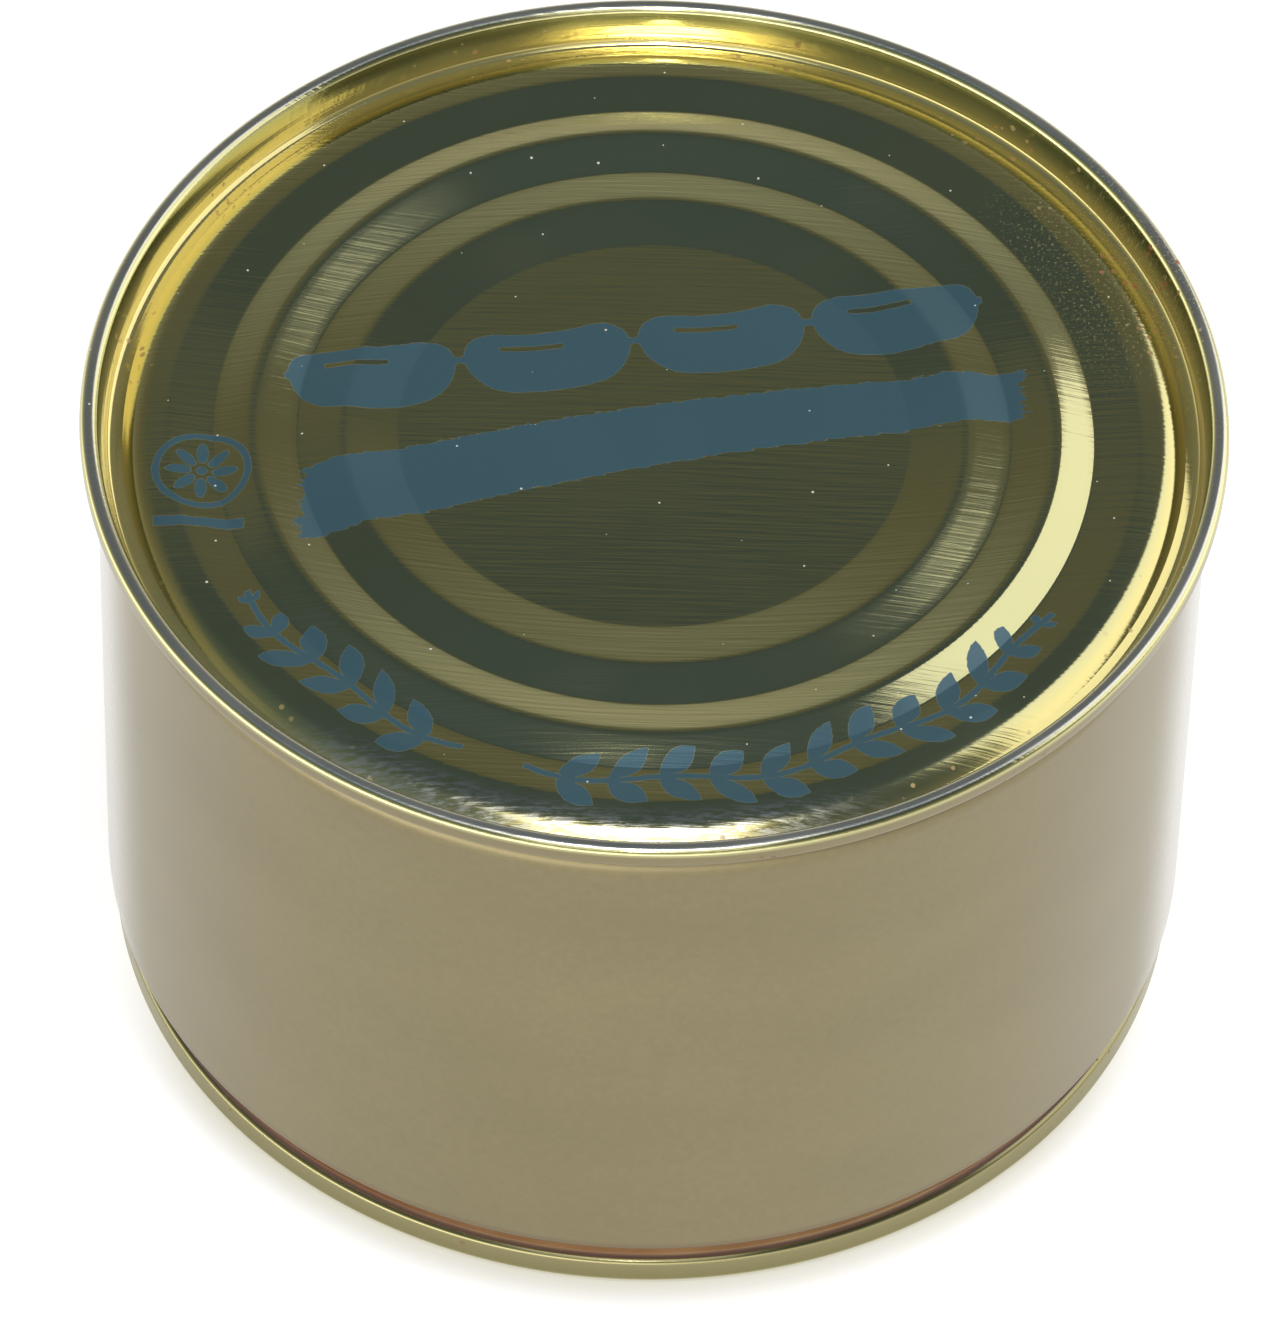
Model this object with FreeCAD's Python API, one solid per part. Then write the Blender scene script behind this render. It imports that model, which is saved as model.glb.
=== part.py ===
import FreeCAD, Part
import math
import os
from collections import namedtuple

# Sealed round food can with a 99 mm body, ringed pressed ends and a necked-in foot.
#
# It is three separate pieces, each a solid of revolution about +Z:
#   can_body    the tinplate wall with the food packed inside it, up to both plates
#   top_end     the pressed top plate with its double seam
#   bottom_end  the pressed bottom plate with its double seam, which the can stands on
#
# Millimetres. The origin is the centre of the circle that the can rests on, and +Z is up.
# Sections are drawn in the XZ plane, with X as the radius, and turned about the Z axis.

# ---- body ----
CAN_HEIGHT = 63.2          # floor to the crest of the top seam
BODY_RADIUS = 49.5         # straight wall
NECK_STEP = 2.15           # how much narrower the neck is than the straight wall
SHOULDER_RISE = 1.5        # height over which the wall slopes in to the neck
SHOULDER_ROUND = 1.2       # where the straight wall turns in
NECK_LENGTH = 0.5          # straight stretch of the neck
NECK_ROUND = 0.3
FLARE_RISE = 0.65          # height over which the neck flares out to the bottom seam
FLARE_STEP = 1.05          # how far it flares out

# ---- double seams ----
TOP_SEAM_STEP = 1.5        # how far the top seam stands out from the straight wall
BOTTOM_SEAM_STEP = 0.5     # how far the bottom seam stands out from the flare
SEAM_LENGTH = 2.95         # crest to the line where the seam meets the wall
SEAM_THICKNESS = 1.55      # chuck wall to the outer face
SEAM_CREST_FLAT = 0.15     # the crest is round but for this much
SEAM_FACE_LEAN = 0.1       # how far the outer face leans in on its way from the crest
TOP_CURL_RISE = 1.05       # height of the corner where the outer face turns in to the wall
BOTTOM_CURL_RISE = 0.35
TOP_CURL_ROUND = 0.9
BOTTOM_CURL_ROUND = 0.5

# ---- pressed plates ----
PLATE_THICKNESS = 0.25
CHUCK_WALL_LEAN = 0.9      # how much narrower the chuck wall is at its foot than at the crest
COUNTERSINK_DEPTH = 3.8    # crest to the foot of the chuck wall
COUNTERSINK_ROUND = 0.7
CREASE_INSET = 2.25        # chuck wall in to the crease beside the countersink
CREASE_RISE = 0.35         # height of the crease over the foot of the chuck wall
CREASE_ROUND = 0.25
STEEPER_INSET = 3.55       # chuck wall in to the bend where the outermost slope steepens
STEEPER_RISE = 1.15        # height of that bend over the foot of the chuck wall
STEEPER_ROUND = 4.0
PANEL_DEPTH = 3.05         # crest to the edge of the centre panel
PANEL_DOME = 0.25          # how far the centre panel swells
DOME_SHARE = 0.96          # how much of the panel its curve takes up
VALLEY_ROUND = 0.6
RIDGE_ROUND = 1.8          # ridges are softer than valleys

Ring = namedtuple("Ring", "inset rise round")
# Ridges and valleys from the chuck wall inward, each with its height over the edge of the
# centre panel. The last one is that edge.
RINGS = [
    Ring(6.25, 0.72, RIDGE_ROUND),
    Ring(10.3, 0.2, VALLEY_ROUND),
    Ring(13.75, 1.2, RIDGE_ROUND),
    Ring(17.75, 0.05, VALLEY_ROUND),
    Ring(21.8, 0.9, RIDGE_ROUND),
    Ring(26.7, 0, VALLEY_ROUND),
]

# ---- sizes that follow from these ----
TOP_SEAM_RADIUS = BODY_RADIUS + TOP_SEAM_STEP
NECK_RADIUS = BODY_RADIUS - NECK_STEP
FLARE_RADIUS = NECK_RADIUS + FLARE_STEP
BOTTOM_SEAM_RADIUS = FLARE_RADIUS + BOTTOM_SEAM_STEP
CREST_ROUND = (SEAM_THICKNESS - SEAM_CREST_FLAT) / 2

Corner = namedtuple("Corner", "r z round")


def point(r, z):
    return FreeCAD.Vector(r, 0, z)


def rounded_edges(corners):
    """Edges from the first corner to the last, with an arc at each corner that has a radius."""
    edges = []
    start = point(corners[0].r, corners[0].z)
    for before, corner, after in zip(corners, corners[1:], corners[2:]):
        here = point(corner.r, corner.z)
        if corner.round:
            back = (point(before.r, before.z) - here).normalize()
            ahead = (point(after.r, after.z) - here).normalize()
            half_angle = back.getAngle(ahead) / 2
            tangent_length = corner.round / math.tan(half_angle)
            to_arc = corner.round / math.sin(half_angle) - corner.round
            first = here + back * tangent_length
            last = here + ahead * tangent_length
            middle = here + (back + ahead).normalize() * to_arc
            edges.append(Part.LineSegment(start, first).toShape())
            edges.append(Part.Arc(first, middle, last).toShape())
            start = last
        else:
            edges.append(Part.LineSegment(start, here).toShape())
            start = here
    edges.append(Part.LineSegment(start, point(corners[-1].r, corners[-1].z)).toShape())
    return edges


def turned(corners):
    """Solid of revolution of the closed section through the given corners."""
    section = Part.Face(Part.Wire(rounded_edges(corners + corners[:1])))
    return section.revolve(point(0, 0), FreeCAD.Vector(0, 0, 1), 360)


def plate_corners(seam_radius):
    """Outer side of a plate, from its centre to its crest, with the crest at z = 0."""
    wall = seam_radius - SEAM_THICKNESS
    foot = -COUNTERSINK_DEPTH
    panel_edge = wall - RINGS[-1].inset
    dome_top = PANEL_DOME - PANEL_DEPTH
    dome_round = DOME_SHARE * panel_edge**2 / (2 * PANEL_DOME)
    corners = [Corner(0, dome_top, 0), Corner(panel_edge / 2, dome_top, dome_round)]
    for ring in reversed(RINGS):
        corners.append(Corner(wall - ring.inset, ring.rise - PANEL_DEPTH, ring.round))
    corners.append(Corner(wall - STEEPER_INSET, foot + STEEPER_RISE, STEEPER_ROUND))
    corners.append(Corner(wall - CREASE_INSET, foot + CREASE_RISE, CREASE_ROUND))
    corners.append(Corner(wall - CHUCK_WALL_LEAN, foot, COUNTERSINK_ROUND))
    corners.append(Corner(wall, 0, CREST_ROUND))
    return corners


def inner_side(corners):
    """The inner side of a plate whose outer side is given, one plate thickness away."""
    sides = []
    for near, far in zip(corners, corners[1:]):
        along = point(far.r, far.z) - point(near.r, near.z)
        away = point(along.z, -along.x).normalize() * PLATE_THICKNESS
        sides.append((point(near.r, near.z) + away, along))

    moved = [Corner(0, corners[0].z - PLATE_THICKNESS, 0)]
    for corner, (start, along), (next_start, next_along) in zip(corners[1:], sides, sides[1:]):
        turn = along.x * next_along.z - along.z * next_along.x
        gap = next_start - start
        meet = start + along * ((gap.x * next_along.z - gap.z * next_along.x) / turn)
        # The inner side is the longer way round a valley and the shorter way round a ridge.
        moved.append(Corner(meet.x, meet.z, corner.round + math.copysign(PLATE_THICKNESS, turn)))

    # It ends on the chuck wall, level with the line where the seam meets the body.
    start, along = sides[-1]
    end = start + along * ((-SEAM_LENGTH - start.z) / along.z)
    moved.append(Corner(end.x, end.z, 0))
    return moved


def end_section(seam_radius, wall_radius, curl_rise, curl_round):
    """Section of a whole end that opens upward, with the crest of its seam at z = 0."""
    outer = plate_corners(seam_radius)
    seam = [
        Corner(seam_radius, 0, CREST_ROUND),
        Corner(seam_radius - SEAM_FACE_LEAN, curl_rise - SEAM_LENGTH, curl_round),
        Corner(wall_radius, -SEAM_LENGTH, 0),
    ]
    return outer + seam + inner_side(outer)[::-1]


def raised(corners, level):
    return [Corner(corner.r, level + corner.z, corner.round) for corner in corners]


def turned_over(corners):
    return [Corner(corner.r, -corner.z, corner.round) for corner in corners]


def make_top_end():
    section = end_section(TOP_SEAM_RADIUS, BODY_RADIUS, TOP_CURL_RISE, TOP_CURL_ROUND)
    return turned(raised(section, CAN_HEIGHT))


def make_bottom_end():
    section = end_section(
        BOTTOM_SEAM_RADIUS, FLARE_RADIUS, BOTTOM_CURL_RISE, BOTTOM_CURL_ROUND)
    return turned(turned_over(section))


def make_can_body():
    """Wall and food as one solid, which fills the space between the two plates."""
    flare_top = SEAM_LENGTH + FLARE_RISE
    neck_top = flare_top + NECK_LENGTH
    wall = [
        Corner(FLARE_RADIUS, SEAM_LENGTH, 0),
        Corner(NECK_RADIUS, flare_top, NECK_ROUND),
        Corner(NECK_RADIUS, neck_top, NECK_ROUND),
        Corner(BODY_RADIUS, neck_top + SHOULDER_RISE, SHOULDER_ROUND),
        Corner(BODY_RADIUS, CAN_HEIGHT - SEAM_LENGTH, 0),
    ]
    bottom = turned_over(inner_side(plate_corners(BOTTOM_SEAM_RADIUS)))
    top = raised(inner_side(plate_corners(TOP_SEAM_RADIUS)), CAN_HEIGHT)
    return turned(bottom + wall + top[::-1])


def main():
    os.makedirs("parts", exist_ok=True)
    pieces = {
        "can_body": make_can_body(),
        "top_end": make_top_end(),
        "bottom_end": make_bottom_end(),
    }
    for node, solid in pieces.items():
        solid.exportStep(f"parts/{node}.step")


if __name__ == "__main__":
    main()
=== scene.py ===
import math
from collections import namedtuple

import bmesh
import bpy
from mathutils import Euler, Matrix, Vector


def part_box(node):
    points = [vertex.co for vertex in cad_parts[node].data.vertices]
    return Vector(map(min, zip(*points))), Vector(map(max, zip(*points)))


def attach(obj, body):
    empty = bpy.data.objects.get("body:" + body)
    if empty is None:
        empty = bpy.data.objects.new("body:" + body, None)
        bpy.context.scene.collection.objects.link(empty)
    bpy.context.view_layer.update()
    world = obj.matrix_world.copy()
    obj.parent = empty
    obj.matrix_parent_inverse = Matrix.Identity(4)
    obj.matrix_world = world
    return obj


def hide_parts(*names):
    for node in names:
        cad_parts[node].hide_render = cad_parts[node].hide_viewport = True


bl_info = {
    "name": "Can of sausages",
    "version": (1, 0, 0),
    "blender": (4, 5, 0),
    "location": "3D View > Sidebar > Can",
    "description": "Sealed round food can with ringed ends, double seams and a printed top",
    "category": "Add Mesh",
}

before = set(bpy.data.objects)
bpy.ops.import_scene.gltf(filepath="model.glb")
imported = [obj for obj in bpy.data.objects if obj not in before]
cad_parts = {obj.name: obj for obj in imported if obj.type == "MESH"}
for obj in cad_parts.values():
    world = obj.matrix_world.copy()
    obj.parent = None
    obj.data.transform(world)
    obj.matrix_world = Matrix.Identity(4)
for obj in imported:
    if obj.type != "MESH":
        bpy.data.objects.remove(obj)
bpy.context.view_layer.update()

MM = 0.001
CAN_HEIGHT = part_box("top_end")[1].z
TOP_SEAM_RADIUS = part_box("top_end")[1].x
BOTTOM_SEAM_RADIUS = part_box("bottom_end")[1].x
BODY_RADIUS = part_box("can_body")[1].x

# ---- sections, in millimetres as the construction has them ----
SEAM_LENGTH = 2.95         # crest to the line where a seam meets the wall
SEAM_THICKNESS = 1.55      # chuck wall to the outer face
SEAM_FACE_LEAN = 0.1       # how far the outer face leans in on its way from the crest
CREST_OVERHANG = 0.04      # the corner of a seam's section past the round crest
CREST_ROUND = 0.7
TOP_CURL_RISE = 1.05       # height of the corner where the outer face turns in to the wall
TOP_CURL_ROUND = 0.9
BOTTOM_CURL_RISE = 0.35
BOTTOM_CURL_ROUND = 0.5
NECK_STEP = 2.15           # how much narrower the neck is than the straight wall
NECK_LENGTH = 0.5
NECK_ROUND = 0.3
SHOULDER_RISE = 1.5        # height over which the wall slopes in to the neck
SHOULDER_ROUND = 1.2
FLARE_RISE = 0.65          # height over which the neck flares out to the bottom seam
FLARE_STEP = 1.05
PLATE_THICKNESS = 0.25
CHUCK_WALL_LEAN = 0.9      # how much narrower the chuck wall is at its foot
COUNTERSINK_DEPTH = 3.8    # crest to the foot of the chuck wall
COUNTERSINK_ROUND = 0.7
CREASE_INSET = 2.25        # chuck wall in to the crease beside the countersink
CREASE_RISE = 0.35
CREASE_ROUND = 0.25
STEEPER_INSET = 3.55       # chuck wall in to the bend where the outermost slope steepens
STEEPER_RISE = 1.15
STEEPER_ROUND = 4.0
PANEL_DEPTH = 3.05         # crest to the edge of the centre panel
PANEL_DOME = 0.25          # how far the centre panel swells
DOME_SHARE = 0.96          # how much of the panel its curve takes up
VALLEY_ROUND = 0.6
RIDGE_ROUND = 1.8
HIDDEN_GAP = 0.6           # from the lowest point of a plate to the food behind it

Ring = namedtuple("Ring", "inset rise round")
# Ridges and valleys from the chuck wall inward, with their heights over the last one, which is
# the edge of the centre panel
RINGS = [
    Ring(6.25, 0.72, RIDGE_ROUND),
    Ring(10.3, 0.2, VALLEY_ROUND),
    Ring(13.75, 1.2, RIDGE_ROUND),
    Ring(17.75, 0.05, VALLEY_ROUND),
    Ring(21.8, 0.9, RIDGE_ROUND),
    Ring(26.7, 0, VALLEY_ROUND),
]

# ---- how finely the sections are drawn and turned ----
SECTORS = 12               # a piece is one sector, turned and then repeated
SECTOR_STEPS = 30
ARC_STEP = math.radians(5)
LONGEST_END_EDGE = 0.75    # longest edge of a section, in millimetres
LONGEST_BODY_EDGE = 2.5
WELD = 0.001               # vertices that lie closer are merged

Corner = namedtuple("Corner", "r z round")


# ======================================================================
# Sizes and colours that can be set
# ======================================================================

def length(name, default, description):
    return bpy.props.FloatProperty(
        name=name, description=description, default=default,
        min=0, unit="LENGTH", subtype="DISTANCE")


def colour(name, default, description):
    return bpy.props.FloatVectorProperty(
        name=name, description=description, default=default,
        size=3, min=0, max=1, subtype="COLOR")


class CanSizes(bpy.types.PropertyGroup):
    height: length("Height", CAN_HEIGHT, "Floor to the crest of the top seam")
    body_radius: length("Body radius", BODY_RADIUS, "Radius of the straight wall")
    top_seam_radius: length("Top seam radius", TOP_SEAM_RADIUS, "Radius over the top double seam")
    bottom_seam_radius: length(
        "Bottom seam radius", BOTTOM_SEAM_RADIUS, "Radius over the bottom double seam")


class CanFinish(bpy.types.PropertyGroup):
    end_gold: colour("End lacquer", (0.56, 0.53, 0.27), "Gold lacquer on the pressed ends")
    deep_gold: colour("Deep lacquer", (0.68, 0.585, 0.235), "Gold where the lacquer lies thicker")
    bare_tin: colour("Bare tin", (0.72, 0.70, 0.67), "Tin where the lacquer is rubbed off a seam")
    body_gold: colour("Body lacquer", (0.238, 0.198, 0.102), "Satin gold lacquer on the wall")
    seam_gold: colour("Bottom seam", (0.295, 0.265, 0.128), "Lacquer on the bottom seam's face")
    ink: colour("Ink", (0.052, 0.118, 0.150), "Blue of the print on the top")
    rust: colour("Rust", (0.26, 0.085, 0.03), "Rust freckles and stains")
    # Painted copper reflection where the foot turns in
    foot_reflection_copper: colour("Foot", (0.58, 0.36, 0.17), "Coppery lacquer where the foot turns in")
    # Painted shade: the brown under the shoulder and the dark line between wall and seam
    shade_brown: colour("Crevice", (0.12, 0.05, 0.03), "Dark line between wall and seam")


# ======================================================================
# Turned pieces
# ======================================================================

def plate_corners(seam_radius):
    """Shown side of a plate, from its centre to its crest, with the crest at z = 0."""
    wall = seam_radius - SEAM_THICKNESS
    foot = -COUNTERSINK_DEPTH
    panel_edge = wall - RINGS[-1].inset
    dome_top = PANEL_DOME - PANEL_DEPTH
    dome_round = DOME_SHARE * panel_edge ** 2 / (2 * PANEL_DOME)
    corners = [Corner(0, dome_top, 0), Corner(panel_edge / 2, dome_top, dome_round)]
    for ring in reversed(RINGS):
        corners.append(Corner(wall - ring.inset, ring.rise - PANEL_DEPTH, ring.round))
    corners.append(Corner(wall - STEEPER_INSET, foot + STEEPER_RISE, STEEPER_ROUND))
    corners.append(Corner(wall - CREASE_INSET, foot + CREASE_RISE, CREASE_ROUND))
    corners.append(Corner(wall - CHUCK_WALL_LEAN, foot, COUNTERSINK_ROUND))
    corners.append(Corner(wall, 0, CREST_ROUND))
    return corners


def seam_corners(seam_radius, wall_radius, curl_rise, curl_round):
    """Outer face of a seam, from its crest at z = 0 in to the wall."""
    return [
        Corner(seam_radius, 0, CREST_ROUND),
        Corner(seam_radius - SEAM_FACE_LEAN, curl_rise - SEAM_LENGTH, curl_round),
        Corner(wall_radius, -SEAM_LENGTH, 0),
    ]


def hidden_side(corners):
    """The side of a plate that faces the food, from the seam back to the centre."""
    foot = corners[-2]
    back = [Corner(foot.r + PLATE_THICKNESS, -SEAM_LENGTH, 0)]
    for corner in corners[-2::-1]:
        back.append(Corner(corner.r, corner.z - PLATE_THICKNESS, 0))
    return back


def end_corners(seam_radius, wall_radius, curl_rise, curl_round):
    """Whole section of an end that opens upward, with the crest of its seam at z = 0."""
    plate = plate_corners(seam_radius)
    seam = seam_corners(seam_radius, wall_radius, curl_rise, curl_round)
    return plate + seam + hidden_side(plate)


def moved_up(corners, level):
    return [Corner(corner.r, level + corner.z, corner.round) for corner in corners]


def turned_over(corners):
    return [Corner(corner.r, -corner.z, corner.round) for corner in corners]


def body_corners(sizes):
    """Section of the wall with the food behind it, from the bottom's centre to the top's."""
    radius = sizes.body_radius / MM
    neck = radius - NECK_STEP
    flare = neck + FLARE_STEP
    flare_top = SEAM_LENGTH + FLARE_RISE
    neck_top = flare_top + NECK_LENGTH
    top = sizes.height / MM
    bottom_food = COUNTERSINK_DEPTH + HIDDEN_GAP
    top_food = top - COUNTERSINK_DEPTH - HIDDEN_GAP
    return [
        Corner(0, bottom_food, 0),
        Corner(flare - PLATE_THICKNESS - CHUCK_WALL_LEAN, bottom_food, 0),
        Corner(flare - PLATE_THICKNESS, SEAM_LENGTH, 0),
        Corner(flare, SEAM_LENGTH, 0),
        Corner(neck, flare_top, NECK_ROUND),
        Corner(neck, neck_top, NECK_ROUND),
        Corner(radius, neck_top + SHOULDER_RISE, SHOULDER_ROUND),
        Corner(radius, top - SEAM_LENGTH, 0),
        Corner(radius - PLATE_THICKNESS, top - SEAM_LENGTH, 0),
        Corner(radius - PLATE_THICKNESS - CHUCK_WALL_LEAN, top_food, 0),
        Corner(0, top_food, 0),
    ]


def round_corner(shape, vert, before, corner, after):
    """Replaces a corner of a section with an arc of its radius."""
    back = Vector((before.r - corner.r, before.z - corner.z))
    ahead = Vector((after.r - corner.r, after.z - corner.z))
    half_angle = back.angle(ahead) / 2
    turn = math.pi - 2 * half_angle
    bmesh.ops.bevel(
        shape,
        geom=[vert],
        offset=corner.round * MM / math.tan(half_angle),
        offset_type="OFFSET",
        affect="VERTICES",
        segments=max(2, math.ceil(turn / ARC_STEP)),
        profile=0.5,
        material=-1,
    )


def turned_piece(name, corners, longest_edge):
    """Solid of revolution about Z of a section that starts and ends on the axis."""
    shape = bmesh.new()
    verts = [shape.verts.new((corner.r * MM, 0, corner.z * MM)) for corner in corners]
    for pair in zip(verts, verts[1:]):
        shape.edges.new(pair)
    for vert, before, corner, after in zip(verts[1:], corners, corners[1:], corners[2:]):
        if corner.round:
            round_corner(shape, vert, before, corner, after)
    for edge in shape.edges[:]:
        cuts = int(edge.calc_length() / MM / longest_edge)
        if cuts:
            bmesh.ops.subdivide_edges(shape, edges=[edge], cuts=cuts)
    about_z = {"cent": (0, 0, 0), "axis": (0, 0, 1)}
    angle = math.tau / SECTORS
    section = shape.verts[:] + shape.edges[:]
    bmesh.ops.spin(shape, geom=section, angle=angle, steps=SECTOR_STEPS, **about_z)
    sector = shape.verts[:] + shape.edges[:] + shape.faces[:]
    bmesh.ops.spin(
        shape, geom=sector, angle=math.tau - angle, steps=SECTORS - 1, use_duplicate=True,
        **about_z)
    bmesh.ops.remove_doubles(shape, verts=shape.verts[:], dist=WELD * MM)
    bmesh.ops.recalc_face_normals(shape, faces=shape.faces[:])
    mesh = bpy.data.meshes.new(name)
    shape.to_mesh(mesh)
    shape.free()
    mesh.shade_smooth()
    piece = bpy.data.objects.new(name, mesh)
    bpy.context.scene.collection.objects.link(piece)
    return piece


def finished(piece, node, material):
    """Gives a piece its material and ties it to the frame."""
    piece.data.materials.append(material)
    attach(piece, "root")
    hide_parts(node)


# ======================================================================
# Fields: numbers that change over a surface
# ======================================================================

class Field:
    """A number that changes over a surface. Arithmetic on it adds Math nodes to its tree."""

    def __init__(self, socket):
        self.socket = socket
        self.tree = socket.id_data

    def math(self, operation, *others, first=None):
        """Result of a Math node on this and the others, or on the first value and this."""
        node = self.tree.nodes.new("ShaderNodeMath")
        node.operation = operation
        values = (self, *others) if first is None else (first, self)
        for place, value in zip(node.inputs, values):
            if isinstance(value, Field):
                self.tree.links.new(value.socket, place)
            else:
                place.default_value = value
        return Field(node.outputs[0])

    def __add__(self, other):
        return self.math("ADD", other)

    def __radd__(self, other):
        return self.math("ADD", other)

    def __sub__(self, other):
        return self.math("SUBTRACT", other)

    def __rsub__(self, other):
        return self.math("SUBTRACT", first=other)

    def __mul__(self, other):
        return self.math("MULTIPLY", other)

    def __truediv__(self, other):
        return self.math("DIVIDE", other)

    def __rtruediv__(self, other):
        return self.math("DIVIDE", first=other)

    def __neg__(self):
        return self.math("MULTIPLY", -1)

    def __abs__(self):
        return self.math("ABSOLUTE")

    def squared(self):
        return self.math("MULTIPLY", self)

    def root(self):
        return self.math("SQRT")

    def sine(self):
        return self.math("SINE")

    def least(self, other):
        return self.math("MINIMUM", other)

    def most(self, other):
        return self.math("MAXIMUM", other)

    def clamped(self):
        return self.math("MAXIMUM", 0).math("MINIMUM", 1)

    def repeated(self, period):
        """The same stretch, from minus half a period to plus half of it, over and over."""
        return self.math("WRAP", period / 2, -period / 2)

    def ramp(self, low, high):
        """0 below the low value, 1 above the high one, and a smooth rise between them."""
        node = self.tree.nodes.new("ShaderNodeMapRange")
        node.interpolation_type = "SMOOTHSTEP"
        self.tree.links.new(self.socket, node.inputs["Value"])
        for place, value in (("From Min", low), ("From Max", high)):
            node.inputs[place].default_value = value
        return Field(node.outputs["Result"])

    def fall(self, low, high):
        """1 below the low value, 0 above the high one, and a smooth fall between them."""
        return 1 - self.ramp(low, high)


def distance(across, along):
    return (across.squared() + along.squared()).root()


def place_mm(tree):
    """Object coordinates in millimetres, as a vector socket and its three fields."""
    coordinates = tree.nodes.new("ShaderNodeTexCoord")
    scale = tree.nodes.new("ShaderNodeVectorMath")
    scale.operation = "SCALE"
    scale.inputs["Scale"].default_value = 1 / MM
    tree.links.new(coordinates.outputs["Object"], scale.inputs[0])
    parts = tree.nodes.new("ShaderNodeSeparateXYZ")
    tree.links.new(scale.outputs[0], parts.inputs[0])
    return scale.outputs[0], [Field(part) for part in parts.outputs]


def stretched(tree, vector, scale):
    node = tree.nodes.new("ShaderNodeMapping")
    node.inputs["Scale"].default_value = scale
    tree.links.new(vector, node.inputs["Vector"])
    return node.outputs["Vector"]


def noise(tree, vector, scale, detail=2.0, roughness=0.5, dimensions="3D"):
    node = tree.nodes.new("ShaderNodeTexNoise")
    node.noise_dimensions = dimensions
    node.inputs["Scale"].default_value = scale
    node.inputs["Detail"].default_value = detail
    node.inputs["Roughness"].default_value = roughness
    tree.links.new(vector, node.inputs["W" if dimensions == "1D" else "Vector"])
    return Field(node.outputs["Fac"])


def new_group(name, inputs, outputs):
    """Empty shader node group. Returns it with its inputs as fields, by name."""
    group = bpy.data.node_groups.new(name, "ShaderNodeTree")
    for label, default in inputs.items():
        socket = group.interface.new_socket(label, in_out="INPUT", socket_type="NodeSocketFloat")
        socket.default_value = default
    for label in outputs:
        group.interface.new_socket(label, in_out="OUTPUT", socket_type="NodeSocketFloat")
    given = group.nodes.new("NodeGroupInput")
    fields = {label: Field(given.outputs[label]) for label in inputs}
    return group, fields


def give_out(group, **results):
    node = group.nodes.new("NodeGroupOutput")
    for label, field in results.items():
        group.links.new(field.socket, node.inputs[label])


# ======================================================================
# Effects that several materials use
# ======================================================================

GRAIN_STRETCH = (0.085, 2.5, 1)    # long along X and fine across it
SPECK_SOFTNESS = 0.06              # width of the soft edge of a speck, in millimetres
SMALLEST_SPECK = 0.4               # the least size of a speck, as a share of the given one
SMUDGE_EDGE = (0.42, 0.72)         # how strong the noise is where a smudge starts and is full


def rolling_grain_group():
    """Fine lines left by the rolling of the plate, which run along X."""
    group, given = new_group("Rolling grain", {"Strength": 1.0}, ["Height"])
    vector, _ = place_mm(group)
    along_x = stretched(group, vector, GRAIN_STRETCH)
    lines = noise(group, along_x, 1.0, detail=2.0, roughness=0.6, dimensions="2D")
    give_out(group, Height=lines * given["Strength"])
    return group


def speck_group(name, dimensions):
    """Small scattered specks: dust that lies on the flat with 2D, freckles anywhere with 3D."""
    inputs = {"Spacing": 4.0, "Size": 0.15, "Share": 0.5}
    group, given = new_group(name, inputs, ["Mask"])
    vector, _ = place_mm(group)
    dots = group.nodes.new("ShaderNodeTexVoronoi")
    dots.voronoi_dimensions = dimensions
    group.links.new(vector, dots.inputs["Vector"])
    group.links.new((1 / given["Spacing"]).socket, dots.inputs["Scale"])
    chance = group.nodes.new("ShaderNodeSeparateColor")
    group.links.new(dots.outputs["Color"], chance.inputs[0])
    picked = Field(chance.outputs[0]).math("LESS_THAN", given["Share"])
    reach = Field(dots.outputs["Distance"]) * given["Spacing"]
    size = given["Size"] * (Field(chance.outputs[1]) + SMALLEST_SPECK)
    mask = ((size - reach) / SPECK_SOFTNESS + 0.5).clamped() * picked
    give_out(group, Mask=mask)
    return group


def smudge_group():
    """Soft cloudy patches where the lacquer is duller."""
    group, given = new_group("Smudges", {"Patch": 14.0}, ["Mask"])
    vector, _ = place_mm(group)
    node = group.nodes.new("ShaderNodeTexNoise")
    node.inputs["Detail"].default_value = 1.0
    group.links.new(vector, node.inputs["Vector"])
    group.links.new((1 / given["Patch"]).socket, node.inputs["Scale"])
    give_out(group, Mask=Field(node.outputs["Fac"]).ramp(*SMUDGE_EDGE))
    return group


# ======================================================================
# The print on the top
# ======================================================================

# Millimetres on the top, with X to the right of the print and Y to its far side
SOFT_EDGE = 0.07
INK_WANDER = 0.22              # how far the noise moves an inked edge
BRUSH_STRETCH = (0.6, 2.4, 1)

RIBBON_TILT = 0.244
RIBBON_CURVE = 0.002
RIBBON_DROP = 0.39             # how far the ribbon passes below the centre
RIBBON_MIDDLE = 0.9
RIBBON_HALF_LENGTH = 32.2
RIBBON_HALF_WIDTH = 3.6
RIBBON_TAPER = 0.024           # loss of half width for each millimetre to the right
RIBBON_SIDE_WANDER = 0.5
RIBBON_END_WANDER = 2.6
TOOTH_PERIOD = 2.3             # teeth of the ribbon's ragged ends
TOOTH_STEEPNESS = 0.5

CHAIN_SLOPE = math.radians(10.5)
CHAIN_HEIGHT = 10.2            # how far the sausages pass above the centre
LINK_PERIOD = 15.8
LINK_COUNT = 4
LINK_HALF_THICKNESS = 3.5
LINK_HALF_SPINE = 4.0          # half the straight part between the round ends of a link
LINK_SAG = 0.5
LINK_BEND = 0.025
GLEAM_X = -1.3                 # middle of the gleam from the middle of its link
GLEAM_Y = 1.75
GLEAM_HALF_LENGTH = 2.6
GLEAM_HALF_WIDTH = 0.27
KNOT_HEIGHT = 0.9
KNOT_HALF_WIDTH = 0.32
KNOT_FLARE = 0.45
KNOT_HALF_LENGTH = 1.3

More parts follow.
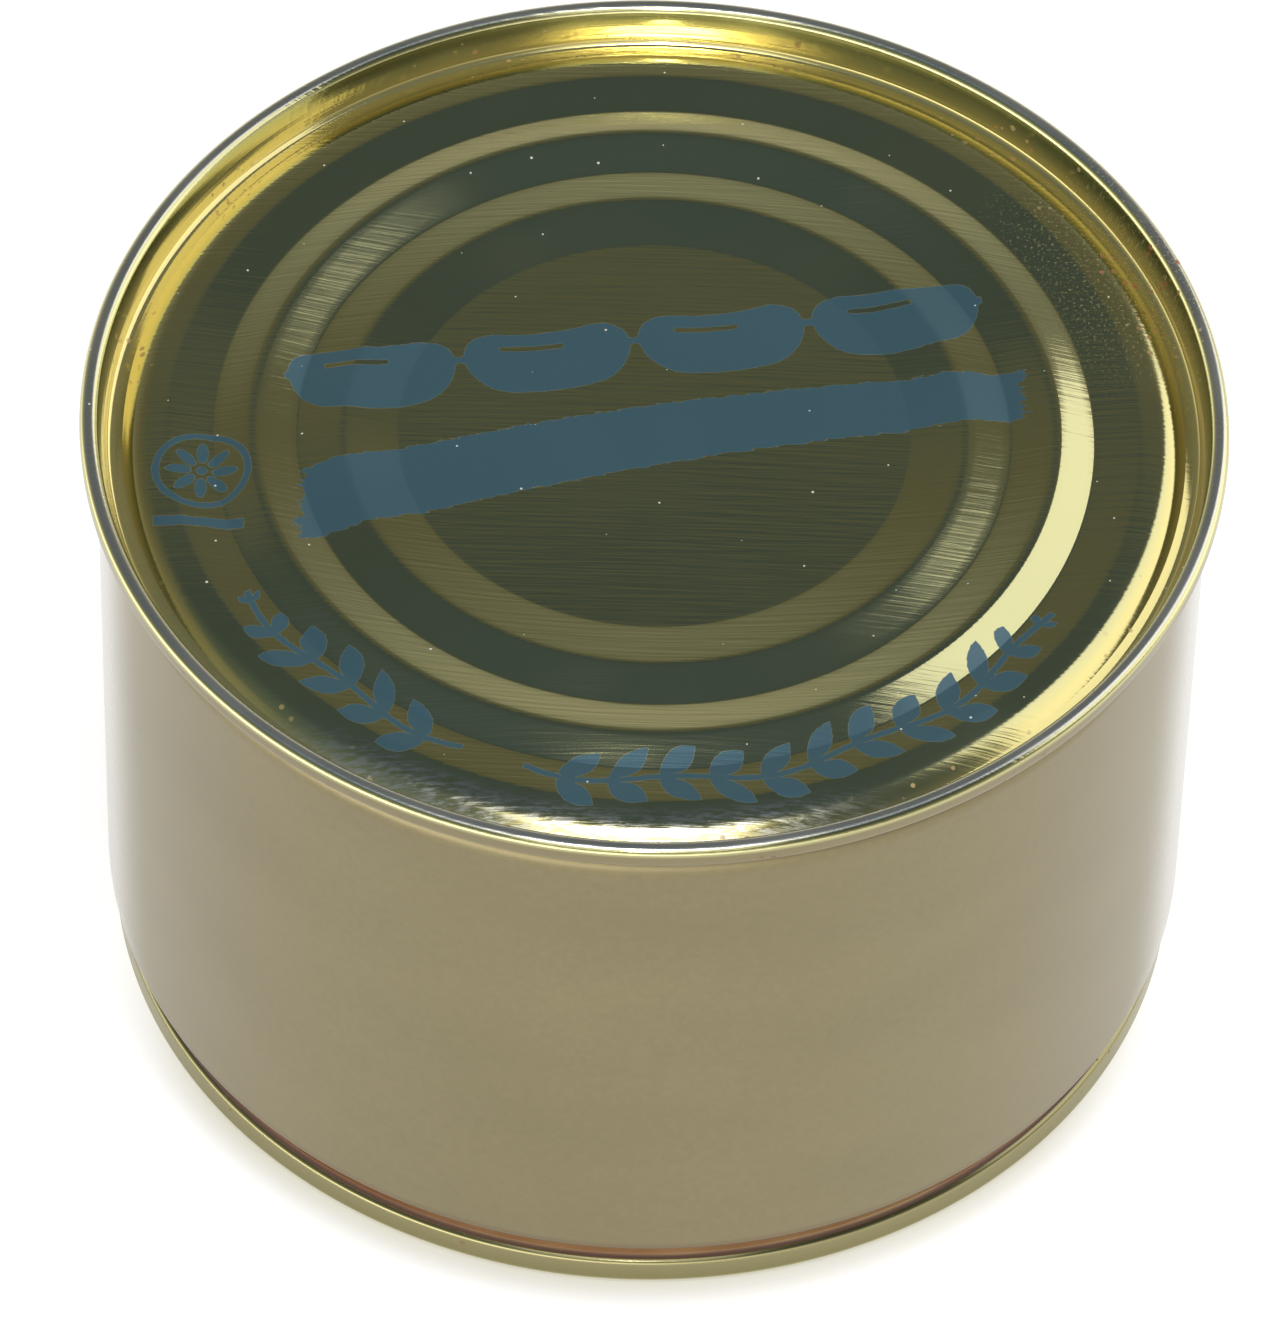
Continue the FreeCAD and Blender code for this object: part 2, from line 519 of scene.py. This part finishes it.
ROSETTE_X = -39.9
ROSETTE_Y = -6.3
ROSETTE_RADIUS = 4.1
ROSETTE_HALF_LINE = 0.32
PETAL_COUNT = 8
PETAL_REACH = 2.05             # middle of the rosette to the middle of a petal
PETAL_SIZE = 0.72
PETAL_LONGER = 0.62            # a petal is longer than it is wide, by the ratio of these two
PETAL_NARROWER = 1.35
HEART_RADIUS = 0.5
BAR_DROP = 6.1
BAR_HALF_LENGTH = 4.0
BAR_HALF_WIDTH = 0.55

SPRIG_RADIUS = 40.6
GAP_ANGLE = math.radians(19)   # from the front round to the left, to the gap between the sprigs
HALF_GAP = math.radians(4)
LEFT_STEM = math.radians(40) * SPRIG_RADIUS
RIGHT_STEM = math.radians(78) * SPRIG_RADIUS
STEM_HALF_WIDTH = 0.34
STEM_WAVE = 0.6
STEM_WAVE_PERIOD = 17.6
TWIG_LENGTH = 2.0              # from the end of the stem to the tip of the last leaf
LEAF_PERIOD = 4.4
LEAF_TURN = math.radians(38)
LEAF_SIZE = 2.31
LEAF_FATNESS = 0.47
LEAF_ROUNDNESS = 1.9
LEAF_ROOT = 1.7                # from the start of a leaf to the middle of its stretch of stem
LEAF_STALK = 0.35
TIP_TAPER = 9.0                # leaves shrink over this length towards the tip
ROOT_TAPER = 4.0
SMALLEST_LEAF = 0.303          # as a share of a full one
FIRST_LEAF = 0.45              # size at the root, as a share of a full one


def inked(signed):
    """1 inside an outline and 0 outside, from the distance to it, which is negative inside."""
    return (0.5 - signed / SOFT_EDGE).clamped()


def stroke(along, across, half_length, half_width):
    """Signed distance to a straight stroke with round ends."""
    return distance((abs(along) - half_length).most(0), across) - half_width


def ribbon(x, y, uneven):
    """Sloping brushed stripe that narrows to the right, with ragged ends."""
    from_middle = y - (x * RIBBON_TILT - x.squared() * RIBBON_CURVE - RIBBON_DROP)
    half_width = RIBBON_HALF_WIDTH - x * RIBBON_TAPER
    side = abs(from_middle) - half_width + uneven * RIBBON_SIDE_WANDER
    teeth = abs(from_middle.repeated(TOOTH_PERIOD)) * TOOTH_STEEPNESS
    reach = RIBBON_HALF_LENGTH - teeth + uneven * RIBBON_END_WANDER
    return side.most(abs(x - RIBBON_MIDDLE) - reach)


def sausage_chain(x, y):
    """Plump links on a slope, each sagging a little, with a bare gleam and nipped joins."""
    along = x * math.cos(CHAIN_SLOPE) + y * math.sin(CHAIN_SLOPE)
    across = y * math.cos(CHAIN_SLOPE) - x * math.sin(CHAIN_SLOPE) - CHAIN_HEIGHT
    from_middle = (along + LINK_PERIOD / 2).repeated(LINK_PERIOD)
    from_spine = across + LINK_SAG - from_middle.squared() * LINK_BEND
    link = stroke(from_middle, from_spine, LINK_HALF_SPINE, LINK_HALF_THICKNESS)
    gleam = stroke(
        from_middle - GLEAM_X, from_spine - GLEAM_Y, GLEAM_HALF_LENGTH, GLEAM_HALF_WIDTH)
    from_join = abs(along.repeated(LINK_PERIOD))
    knot = abs(across - KNOT_HEIGHT) - KNOT_HALF_WIDTH - from_join * KNOT_FLARE
    knot = knot.most(from_join - KNOT_HALF_LENGTH)
    chain = link.most(-gleam).least(knot)
    return chain.most(abs(along) - LINK_PERIOD * LINK_COUNT / 2)


def rosette(x, y):
    """Ring with a flower in it and a plain bar under it."""
    dx = x - ROSETTE_X
    dy = y - ROSETTE_Y
    reach = distance(dx, dy)
    ring = abs(reach - ROSETTE_RADIUS) - ROSETTE_HALF_LINE
    angle = dy.math("ARCTAN2", dx).repeated(math.tau / PETAL_COUNT)
    petal_along = (reach - PETAL_REACH) * PETAL_LONGER
    petal_across = angle * reach * PETAL_NARROWER
    petal = distance(petal_along, petal_across) - PETAL_SIZE
    heart = reach - HEART_RADIUS
    bar = (abs(dx) - BAR_HALF_LENGTH).most(abs(dy + BAR_DROP) - BAR_HALF_WIDTH)
    return ring.least(petal).least(heart).least(bar)


def sprig(x, y):
    """Two leafy stems that follow the lower edge of the top, with a gap between them."""
    angle = x.math("ARCTAN2", -y)
    along = (abs(angle + GAP_ANGLE) - HALF_GAP) * SPRIG_RADIUS
    right = angle.math("GREATER_THAN", -GAP_ANGLE)
    stem_length = right * (RIGHT_STEM - LEFT_STEM) + LEFT_STEM
    wave = (along * (math.tau / STEM_WAVE_PERIOD)).sine() * STEM_WAVE
    across = abs(distance(x, y) - SPRIG_RADIUS - wave)
    stem = (across - STEM_HALF_WIDTH).most(-along).most(along - stem_length + TWIG_LENGTH)

    from_root = along.repeated(LEAF_PERIOD) + LEAF_ROOT
    leaf_along = from_root * math.cos(LEAF_TURN) + across * math.sin(LEAF_TURN)
    leaf_across = across * math.cos(LEAF_TURN) - from_root * math.sin(LEAF_TURN)
    to_tip = ((stem_length - along) / TIP_TAPER).clamped()
    to_root = (along / ROOT_TAPER + FIRST_LEAF).clamped()
    half = to_tip.least(to_root).most(SMALLEST_LEAF) * LEAF_SIZE
    from_middle = leaf_along - half - LEAF_STALK
    bulge = from_middle.squared() / (half * LEAF_ROUNDNESS)
    leaf = abs(leaf_across) + bulge - half * LEAF_FATNESS
    leaf = leaf.most(LEAF_PERIOD / 2 + 0.1 - along).most(along - stem_length)
    return stem.least(leaf)


def print_group():
    """Blue ink on the top: sausages over a brushed ribbon, a rosette and two sprigs."""
    group, _ = new_group("Top print", {}, ["Ink"])
    vector, (x, y, _) = place_mm(group)
    brushed = stretched(group, vector, BRUSH_STRETCH)
    uneven = noise(group, brushed, 1.2, detail=2.0, roughness=0.5, dimensions="2D") - 0.5
    shapes = ribbon(x, y, uneven)
    for shape in (sausage_chain(x, y), rosette(x, y), sprig(x, y)):
        shapes = shapes.least(shape)
    give_out(group, Ink=inked(shapes + uneven * INK_WANDER))
    return group


EFFECTS = {
    "Rolling grain": rolling_grain_group,
    "Specks": lambda: speck_group("Specks", "3D"),
    "Flat specks": lambda: speck_group("Flat specks", "2D"),
    "Smudges": smudge_group,
    "Top print": print_group,
}


def use_effect(tree, name, **values):
    """Places an effect in a material, and builds its group the first time. Returns its output."""
    node = tree.nodes.new("ShaderNodeGroup")
    node.node_tree = bpy.data.node_groups.get(name) or EFFECTS[name]()
    for label, value in values.items():
        node.inputs[label].default_value = value
    return Field(node.outputs[0])


# ======================================================================
# Materials
# ======================================================================

# Soft edges of the finishes of an end, in millimetres. Inset is how far a point lies in from
# the face of the seam, and depth is how far it lies below the crest.
TROUGH_DEPTH = (0.7, 2.4)
TROUGH_INSET = (4.4, 6.1)
CREST_DEPTH = (0.02, 0.12)
CREST_INSET = (1.8, 2.0)
FACE_DEPTH = (0.3, 0.8)
FACE_INSET = (1.0, 1.15)
WORN_EDGE_DEPTH = (2.3, 2.6)
SCUFF_INSET = (3.0, 3.8)
SCUFF_END_INSET = (6.2, 7.6)
SCUFF_Y = (-42.5, -37.0)
SCUFF_TURN = 0.12              # the scuffed stretch lies a little to the left of the front
GRIME_X = 40.0
GRIME_Y = 20.0
GRIME_REACH = (5.0, 17.0)
GRIME_INSET = (9.0, 14.0)
RUST_INSET = (6.0, 7.5)
DULL_INSET = (0.9, 1.4)
DULL_END_INSET = (3.2, 4.6)
CHUCK_WALL_INSET = (2.5, 3.0)
WALL_LINES = 0.7               # height of the lines on the chuck wall beside the rolled grain

# Heights on the wall where its finish changes, in millimetres
# Below this height the wall gets the painted shade of the dark line at the seam
CREVICE_SHADE_TOP = (3.0, 3.22)
STAIN_TOP = (3.1, 4.3)
# Below this height the foot gets its painted copper reflection
COPPER_REFLECTION_TOP = (4.2, 6.3)
SHADE_BOTTOM = (4.3, 4.8)
SHADE_TOP = (5.7, 6.8)
RUSTY_FOOT_X = -30.0           # middle of the stretch of the foot that has rusted most
RUSTY_FOOT_Y = -37.0
RUSTY_FOOT_REACH = (8.0, 24.0)
GRAZING = (0.76, 0.92)         # how nearly edge-on the lacquer is where it turns glossy

# Colours that a user would not change
DIRT = (0.30, 0.24, 0.10)
DUST = (0.62, 0.61, 0.56)


def new_material(name):
    material = bpy.data.materials.new(name)
    material.use_nodes = True
    tree = material.node_tree
    return material, tree, tree.nodes["Principled BSDF"]


def mixed(tree, factor, under, over):
    """Colour that goes from under to over as the factor goes from 0 to 1."""
    node = tree.nodes.new("ShaderNodeMix")
    node.data_type = "RGBA"
    tree.links.new(factor.socket, node.inputs["Factor"])
    for place, value in ((node.inputs[6], under), (node.inputs[7], over)):
        if isinstance(value, bpy.types.NodeSocket):
            tree.links.new(value, place)
        else:
            place.default_value = (*value, 1)
    return node.outputs[2]


def set_gloss(tree, shader, roughness, finishes):
    """Each finish is a mask, how much rougher it makes the lacquer and how much less metal."""
    metal = 1
    for mask, rougher, less_metal in finishes:
        if rougher:
            roughness = mask * rougher + roughness
        if less_metal:
            metal = (1 - mask * less_metal) * metal
    tree.links.new(roughness.socket, shader.inputs["Roughness"])
    tree.links.new(metal.socket, shader.inputs["Metallic"])


def bumped(tree, shader, height, depth):
    node = tree.nodes.new("ShaderNodeBump")
    node.inputs["Strength"].default_value = 1.0
    node.inputs["Distance"].default_value = depth * MM
    tree.links.new(height.socket, node.inputs["Height"])
    tree.links.new(node.outputs["Normal"], shader.inputs["Normal"])


def lacquered_end(name, finish, crest, up, seam_radius, face_gold, printed):
    """Glossy gold lacquer on a pressed end. up is 1 where it opens upward and -1 where down."""
    material, tree, shader = new_material(name)
    shader.inputs["Coat Weight"].default_value = 0.35
    shader.inputs["Coat Roughness"].default_value = 0.09
    vector, (x, y, z) = place_mm(tree)
    inset = seam_radius - distance(x, y)
    depth = (crest - z) * up
    handled = max(up, 0)
    smudges = use_effect(tree, "Smudges", Patch=13.0)

    # Deeper gold in the trough beside the seam, and duller where its wall meets its floor
    in_trough = depth.ramp(*TROUGH_DEPTH) * inset.fall(*TROUGH_INSET)
    dull = in_trough * inset.ramp(*DULL_INSET) * inset.fall(*DULL_END_INSET)
    base = mixed(tree, in_trough, finish.end_gold, finish.deep_gold)

    # The seam: bare tin on its crest, satin lacquer on its face and a polished edge under it
    bare_crest = depth.fall(*CREST_DEPTH) * inset.fall(*CREST_INSET)
    base = mixed(tree, bare_crest * 0.85, base, finish.bare_tin)
    on_face = inset.fall(*FACE_INSET) * depth.ramp(*FACE_DEPTH)
    worn_edge = on_face * depth.ramp(*WORN_EDGE_DEPTH)
    base = mixed(tree, on_face, base, face_gold)

    # Scuffs at the front and dirt at the right, where the top has been handled
    scratchy = stretched(tree, vector, (0.5, 2.8, 1))
    patches = noise(tree, scratchy, 1.0, detail=4.0, roughness=0.75, dimensions="2D")
    near_rim = inset.fall(*SCUFF_END_INSET) * inset.ramp(*SCUFF_INSET)
    near_side = (y + x * SCUFF_TURN).fall(*SCUFF_Y) * handled
    scuffed = patches.ramp(0.38, 0.64) * near_rim * near_side
    base = mixed(tree, scuffed * 0.6, base, finish.bare_tin)
    grimy = distance(x - GRIME_X, y - GRIME_Y).fall(*GRIME_REACH)
    grimy = grimy * inset.fall(*GRIME_INSET) * handled
    dirt = noise(tree, vector, 3.2, detail=3.0, roughness=0.75, dimensions="2D")
    dirty = dirt.ramp(0.58, 0.70) * grimy * 0.6
    base = mixed(tree, dirty, base, DIRT)

    # Freckles of rust in the trough
    freckles = use_effect(tree, "Specks", Spacing=1.1, Size=0.22, Share=0.4)
    rusty = freckles * inset.fall(*RUST_INSET) * (in_trough * smudges).most(grimy)
    base = mixed(tree, rusty, base, finish.rust)

    finishes = [
        (smudges, 0.05, 0),
        (rusty, 0.5, 1),
        (bare_crest, 0.16, 0),
        (on_face, 0.24, 0),
        (worn_edge, -0.17, 0),
        (scuffed, 0.1, 0),
        (dirty, 0.3, 0.7),
        (dull, 0, 0.15),
    ]
    if printed:
        ink = use_effect(tree, "Top print")
        base = mixed(tree, ink, base, finish.ink)
        finishes.append((ink, 0.22, 0.62))
    dust = use_effect(tree, "Flat specks", Spacing=6.5, Size=0.085, Share=0.4) * (1 - in_trough)
    base = mixed(tree, dust, base, DUST)
    finishes.append((dust, 0, 1))
    tree.links.new(base, shader.inputs["Base Color"])
    set_gloss(tree, shader, 0.11, finishes)

    # Rolled grain on the flat, and lines round the chuck wall
    grain = use_effect(tree, "Rolling grain", Strength=1.0)
    on_wall = inset.fall(*CHUCK_WALL_INSET) * depth.ramp(*FACE_DEPTH)
    lines = noise(tree, z.socket, 2.4, detail=2.0, roughness=0.5, dimensions="1D")
    bumped(tree, shader, grain * (1 - on_wall) + lines * on_wall * WALL_LINES, 0.018)
    return material


def lacquered_body(finish):
    """Satin gold lacquer on the wall, with a painted copper reflection, painted shade and rust
    where it dives in at the foot.
    """
    material, tree, shader = new_material("Body lacquer")
    shader.inputs["Coat Roughness"].default_value = 0.25
    vector, (x, y, z) = place_mm(tree)

    # The coat is thin face-on and glossier edge-on
    facing = tree.nodes.new("ShaderNodeLayerWeight")
    grazing = Field(facing.outputs["Facing"]).ramp(*GRAZING)
    tree.links.new((grazing * 0.62 + 0.38).socket, shader.inputs["Coat Weight"])

    # Fine mottle with broad clouds
    mottle = noise(tree, vector, 1.1, detail=2.0, roughness=0.75)
    clouds = noise(tree, stretched(tree, vector, (0.05, 0.05, 0.1)), 1.0, detail=1.0)
    darker = tuple(part * 0.82 for part in finish.body_gold)
    lighter = tuple(part * 1.14 for part in finish.body_gold)
    base = mixed(tree, (mottle * 0.7 + clouds * 0.5 - 0.1).clamped(), darker, lighter)

    # The foot: a painted copper reflection, a painted brown shade under the shoulder, rust, and
    # the dark line at the seam, which is painted shade
    copper_reflection = z.fall(*COPPER_REFLECTION_TOP)
    base = mixed(tree, copper_reflection * 0.85, base, finish.foot_reflection_copper)
    # Painted brown shade under the shoulder, where the wall turns under
    shade = z.fall(*SHADE_TOP) * z.ramp(*SHADE_BOTTOM)
    base = mixed(tree, shade * 0.45, base, finish.shade_brown)
    around = noise(tree, vector, 0.09, detail=1.0, roughness=0.6, dimensions="2D")
    most_rusty = distance(x - RUSTY_FOOT_X, y - RUSTY_FOOT_Y).fall(*RUSTY_FOOT_REACH)
    stain = z.fall(*STAIN_TOP) * (around.ramp(0.40, 0.66) * 0.5).most(most_rusty * 0.75)
    base = mixed(tree, stain, base, finish.rust)
    # Painted shade in the crevice where the wall dives in to the seam
    crevice_shade = z.fall(*CREVICE_SHADE_TOP)
    base = mixed(tree, crevice_shade, base, finish.shade_brown)
    freckles = use_effect(tree, "Specks", Spacing=9.0, Size=0.2, Share=0.2)
    base = mixed(tree, freckles, base, finish.rust)

    tree.links.new(base, shader.inputs["Base Color"])
    set_gloss(tree, shader, 0.36, [
        (mottle, 0.08, 0),
        (grazing, -0.14, 0),
        (freckles, 0, 1),
        (crevice_shade, 0, 0.8),
        (stain, 0, 0.5),
        (copper_reflection, 0, 0.5),
    ])
    bumped(tree, shader, mottle, 0.006)
    return material


# ======================================================================
# Stage: floor, lamps, world and camera
# ======================================================================

CAMERA_PITCH = math.radians(49.36)
CAMERA_ROLL = math.radians(1.593)
CAMERA_DISTANCE = 0.9429
CAMERA_LENS = 290.18
CAMERA_SENSOR = 36
CAMERA_SIGHT = 20              # metres that the camera sees
AIM = Vector((-0.00057, -0.0165, CAN_HEIGHT - 0.0148))

WHITE = (1, 1, 1)
PLAIN_LIGHT = (0.55, 0.55, 0.55)
SKY = [                        # sine of the height over the horizon, and the colour there
    (0.0, (1.0, 1.0, 1.0)),
    (0.10, (0.80, 0.79, 0.74)),
    (0.208, (0.55, 0.52, 0.45)),
    (0.407, (0.27, 0.285, 0.265)),
    (0.616, (0.15, 0.145, 0.11)),
    (0.735, (0.125, 0.14, 0.13)),
    (0.775, (0.07, 0.095, 0.115)),
    (1.0, (0.075, 0.11, 0.155)),
]
LIT_SIDE_X = -0.65             # the way to the side of the room that is lighter
LIT_SIDE_Y = -0.55
LIT_SIDE_GAIN = 1.8
LIT_LOW_GAIN = 3.2             # and more so low down
LIT_LOW = (0.30, 0.62)

FLOOR_SIZE = 6.0
FLOOR_COLOUR = (0.85, 0.85, 0.84)
FLOOR_GLOW = 1.53
GLOW_SHARE = 0.5               # the rest of the floor's light is what falls on it
# Painted contact shade on the floor just in front of the can's foot
CONTACT_SHADE = (0.565, 0.545, 0.455)
CONTACT_RADIUS = (48.7, 53.0)
CONTACT_Y = (-34.0, -8.0)

Lamp = namedtuple("Lamp", "name toward distance size radiance along")
LAMPS = [
    Lamp("side lamp", (0.7825, 0.348, 0.5245), 0.8, 0.86, 1.35, (-0.1765, -0.681, 0.711)),
    Lamp("overhead lamp", (0.0, -0.20, 0.98), 0.9, 0.16, 22.0, (1, 0, 0)),
    Lamp("front lamp", (0.0, -0.66, 0.75), 0.9, 0.05, 40.0, (1, 0, 0)),
    Lamp("front glow", (0.0, -0.60, 0.80), 0.9, 0.5, 0.9, (1, 0, 0)),
    Lamp("overhead glow", (-0.02, -0.27, 0.963), 1.0, 0.42, 1.6, (1, 0, 0)),
]


def seen_directly(tree):
    """1 for rays that show the background: from the camera, off gloss and through glass."""
    path = tree.nodes.new("ShaderNodeLightPath")
    camera, glossy, through = [
        Field(path.outputs[f"Is {kind} Ray"]) for kind in ("Camera", "Glossy", "Transmission")]
    return camera.most(glossy).most(through), camera


def make_world():
    """White to the camera, a dim room with a pale horizon to gloss, plain light to the rest."""
    world = bpy.data.worlds.new("Studio")
    bpy.context.scene.world = world
    world.use_nodes = True
    tree = world.node_tree
    direction = tree.nodes.new("ShaderNodeTexCoord")
    parts = tree.nodes.new("ShaderNodeSeparateXYZ")
    tree.links.new(direction.outputs["Generated"], parts.inputs[0])
    across, along, height = [Field(part) for part in parts.outputs]
    sky = tree.nodes.new("ShaderNodeValToRGB")
    tree.links.new(height.socket, sky.inputs[0])
    stops = sky.color_ramp.elements
    for place, _ in SKY[1:-1]:
        stops.new(place)
    for stop, (_, tint) in zip(stops, SKY):
        stop.color = (*tint, 1)
    lit_side = (across * LIT_SIDE_X + along * LIT_SIDE_Y).clamped()
    gain = 1 + lit_side * (LIT_SIDE_GAIN + height.fall(*LIT_LOW) * LIT_LOW_GAIN)
    room = tree.nodes.new("ShaderNodeVectorMath")
    room.operation = "SCALE"
    tree.links.new(sky.outputs[0], room.inputs[0])
    tree.links.new(gain.socket, room.inputs["Scale"])
    direct, camera = seen_directly(tree)
    background = mixed(tree, camera, room.outputs[0], WHITE)
    shown = mixed(tree, direct, PLAIN_LIGHT, background)
    tree.links.new(shown, tree.nodes["Background"].inputs["Color"])


def make_floor():
    """Pale floor that is white to the camera, keeps the shadow of the can and has a painted
    contact shade in front of its foot.
    """
    shape = bmesh.new()
    bmesh.ops.create_grid(shape, x_segments=1, y_segments=1, size=FLOOR_SIZE / 2)
    mesh = bpy.data.meshes.new("floor")
    shape.to_mesh(mesh)
    shape.free()
    floor = bpy.data.objects.new("floor", mesh)
    bpy.context.scene.collection.objects.link(floor)
    material, tree, shader = new_material("Floor")
    shader.inputs["Base Color"].default_value = (*FLOOR_COLOUR, 1)
    shader.inputs["Roughness"].default_value = 0.9
    glow = tree.nodes.new("ShaderNodeEmission")
    _, (x, y, _) = place_mm(tree)
    # Painted contact shade: the glow is darker and yellower close in front of the can's foot
    contact_shade_mask = distance(x, y).fall(*CONTACT_RADIUS) * y.fall(*CONTACT_Y)
    tree.links.new(mixed(tree, contact_shade_mask, WHITE, CONTACT_SHADE), glow.inputs["Color"])
    glow.inputs["Strength"].default_value = FLOOR_GLOW
    blend = tree.nodes.new("ShaderNodeMixShader")
    direct, _ = seen_directly(tree)
    tree.links.new((direct * GLOW_SHARE).socket, blend.inputs[0])
    tree.links.new(shader.outputs[0], blend.inputs[1])
    tree.links.new(glow.outputs[0], blend.inputs[2])
    tree.links.new(blend.outputs[0], tree.nodes["Material Output"].inputs["Surface"])
    material.cycles.emission_sampling = "NONE"
    mesh.materials.append(material)


def make_lamp(setting):
    """Square soft lamp that faces the can, with one side along the setting's vector."""
    lamp = bpy.data.lights.new(setting.name, "AREA")
    lamp.shape = "SQUARE"
    lamp.size = setting.size
    lamp.energy = setting.radiance * math.pi * setting.size ** 2
    holder = bpy.data.objects.new(setting.name, lamp)
    back = Vector(setting.toward).normalized()
    side = Vector(setting.along)
    side = (side - back * side.dot(back)).normalized()
    turn = Matrix((side, back.cross(side), back)).transposed().to_4x4()
    top_of_can = Vector((0, 0, CAN_HEIGHT))
    holder.matrix_world = Matrix.Translation(back * setting.distance + top_of_can) @ turn
    holder.visible_camera = False
    bpy.context.scene.collection.objects.link(holder)


def make_camera():
    camera = bpy.data.cameras.new("camera")
    camera.lens = CAMERA_LENS
    camera.sensor_width = CAMERA_SENSOR
    camera.clip_end = CAMERA_SIGHT
    holder = bpy.data.objects.new("camera", camera)
    bpy.context.scene.collection.objects.link(holder)
    tilt = Euler((math.pi / 2 - CAMERA_PITCH, 0, 0)).to_matrix()
    turn = (tilt @ Matrix.Rotation(CAMERA_ROLL, 3, "Z")).to_4x4()
    back = Matrix.Translation((0, 0, CAMERA_DISTANCE))
    holder.matrix_world = Matrix.Translation(AIM) @ turn @ back
    bpy.context.scene.camera = holder


# ======================================================================
# Operators and panel
# ======================================================================

class CAN_OT_body(bpy.types.Operator):
    """Wall of the can, with its necked-in foot"""
    bl_idname = "can.body"
    bl_label = "Body"

    def execute(self, context):
        section = body_corners(context.scene.can_sizes)
        piece = turned_piece("body_wall", section, LONGEST_BODY_EDGE)
        finished(piece, "can_body", lacquered_body(context.scene.can_finish))
        return {"FINISHED"}


class CAN_OT_top_end(bpy.types.Operator):
    """Pressed and printed top with its double seam"""
    bl_idname = "can.top_end"
    bl_label = "Top end"

    def execute(self, context):
        sizes = context.scene.can_sizes
        crest = sizes.height / MM
        seam_radius = sizes.top_seam_radius / MM + CREST_OVERHANG
        wall_radius = sizes.body_radius / MM
        section = end_corners(seam_radius, wall_radius, TOP_CURL_RISE, TOP_CURL_ROUND)
        piece = turned_piece("top_plate", moved_up(section, crest), LONGEST_END_EDGE)
        finish = context.scene.can_finish
        material = lacquered_end(
            "Top lacquer", finish, crest, up=1, seam_radius=seam_radius,
            face_gold=finish.body_gold, printed=True)
        finished(piece, "top_end", material)
        return {"FINISHED"}


class CAN_OT_bottom_end(bpy.types.Operator):
    """Pressed bottom with its double seam"""
    bl_idname = "can.bottom_end"
    bl_label = "Bottom end"

    def execute(self, context):
        sizes = context.scene.can_sizes
        wall_radius = sizes.body_radius / MM - NECK_STEP + FLARE_STEP
        seam_radius = sizes.bottom_seam_radius / MM + CREST_OVERHANG
        section = end_corners(seam_radius, wall_radius, BOTTOM_CURL_RISE, BOTTOM_CURL_ROUND)
        piece = turned_piece("bottom_plate", turned_over(section), LONGEST_END_EDGE)
        finish = context.scene.can_finish
        material = lacquered_end(
            "Bottom lacquer", finish, crest=0, up=-1, seam_radius=seam_radius,
            face_gold=finish.seam_gold, printed=False)
        finished(piece, "bottom_end", material)
        return {"FINISHED"}


class CAN_OT_stage(bpy.types.Operator):
    """Pale floor, soft lamps, world and camera"""
    bl_idname = "can.stage"
    bl_label = "Stage"

    def execute(self, context):
        context.scene.view_settings.view_transform = "Standard"
        make_camera()
        make_world()
        make_floor()
        for setting in LAMPS:
            make_lamp(setting)
        return {"FINISHED"}


class CAN_PT_panel(bpy.types.Panel):
    bl_idname = "CAN_PT_panel"
    bl_label = "Can of sausages"
    bl_space_type = "VIEW_3D"
    bl_region_type = "UI"
    bl_category = "Can"

    def draw(self, context):
        for settings in (context.scene.can_sizes, context.scene.can_finish):
            for name in settings.__annotations__:
                self.layout.prop(settings, name)
        for operator in OPERATORS:
            self.layout.operator(operator.bl_idname)


OPERATORS = (CAN_OT_stage, CAN_OT_body, CAN_OT_bottom_end, CAN_OT_top_end)
CLASSES = (CanSizes, CanFinish, *OPERATORS, CAN_PT_panel)


def register():
    for each in CLASSES:
        bpy.utils.register_class(each)
    bpy.types.Scene.can_sizes = bpy.props.PointerProperty(type=CanSizes)
    bpy.types.Scene.can_finish = bpy.props.PointerProperty(type=CanFinish)


def unregister():
    del bpy.types.Scene.can_finish
    del bpy.types.Scene.can_sizes
    for each in reversed(CLASSES):
        bpy.utils.unregister_class(each)


def main():
    register()
    bpy.ops.can.stage()
    bpy.ops.can.body()
    bpy.ops.can.bottom_end()
    bpy.ops.can.top_end()
    bpy.context.view_layer.update()


if __name__ == "__main__":
    main()
